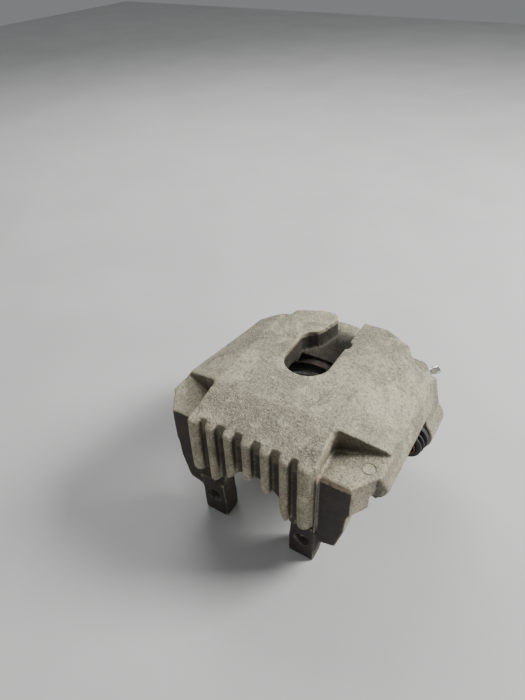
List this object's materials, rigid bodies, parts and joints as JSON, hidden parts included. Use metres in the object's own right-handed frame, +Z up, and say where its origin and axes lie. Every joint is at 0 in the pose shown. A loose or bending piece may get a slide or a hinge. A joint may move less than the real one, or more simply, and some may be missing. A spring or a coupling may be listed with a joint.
{
  "type": "brake caliper",
  "caption": "Single-piston floating brake caliper housing with ribbed fingers, piston, guide bushes and pins, and a bleed screw.",
  "frame": {"origin": "middle of the length and width, on the surface that the caliper rests on", "axes": "+X along the disc's edge to the right, +Y inboard along the piston's axis, +Z up, away from the wheel's centre"},
  "size_m": [0.167, 0.147, 0.1045],
  "materials": {
    "weathered_iron": "as cast, weathered grey-beige with rust",
    "bright_steel": "zinc plated, bright",
    "piston_steel": "ground",
    "black_rubber": "matt",
    "rusty_sleeve": "rusted"
  },
  "bodies": {
    "housing": {"caliper_housing": "weathered_iron", "piston_seal": "black_rubber", "dust_boot": "black_rubber", "boot_retaining_ring": "piston_steel", "guide_bush_right": "black_rubber", "guide_bush_left": "black_rubber", "guide_sleeve_right": "rusty_sleeve", "guide_sleeve_left": "rusty_sleeve"},
    "piston": {"piston": "piston_steel"},
    "pin_right": {"guide_pin_right": "bright_steel"},
    "pin_left": {"guide_pin_left": "bright_steel"},
    "bleeder": {"bleed_screw": "bright_steel"}
  },
  "joints": [
    {"name": "piston_slide", "type": "slide", "parent": "housing", "child": "piston", "axis": [0, -1, 0], "range_m": [0, 0.025]},
    {"name": "pin_right_slide", "type": "slide", "parent": "housing", "child": "pin_right", "axis": [0, -1, 0], "range_m": [0, 0.024]},
    {"name": "pin_left_slide", "type": "slide", "parent": "housing", "child": "pin_left", "axis": [0, -1, 0], "range_m": [0, 0.024]},
    {"name": "bleed_screw_turn", "type": "hinge", "parent": "housing", "child": "bleeder", "pos_m": [0.058, 0.0595, 0.0715], "axis": [0.7807, 0.5305, 0.3303], "range_deg": [0, 360]}
  ]
}
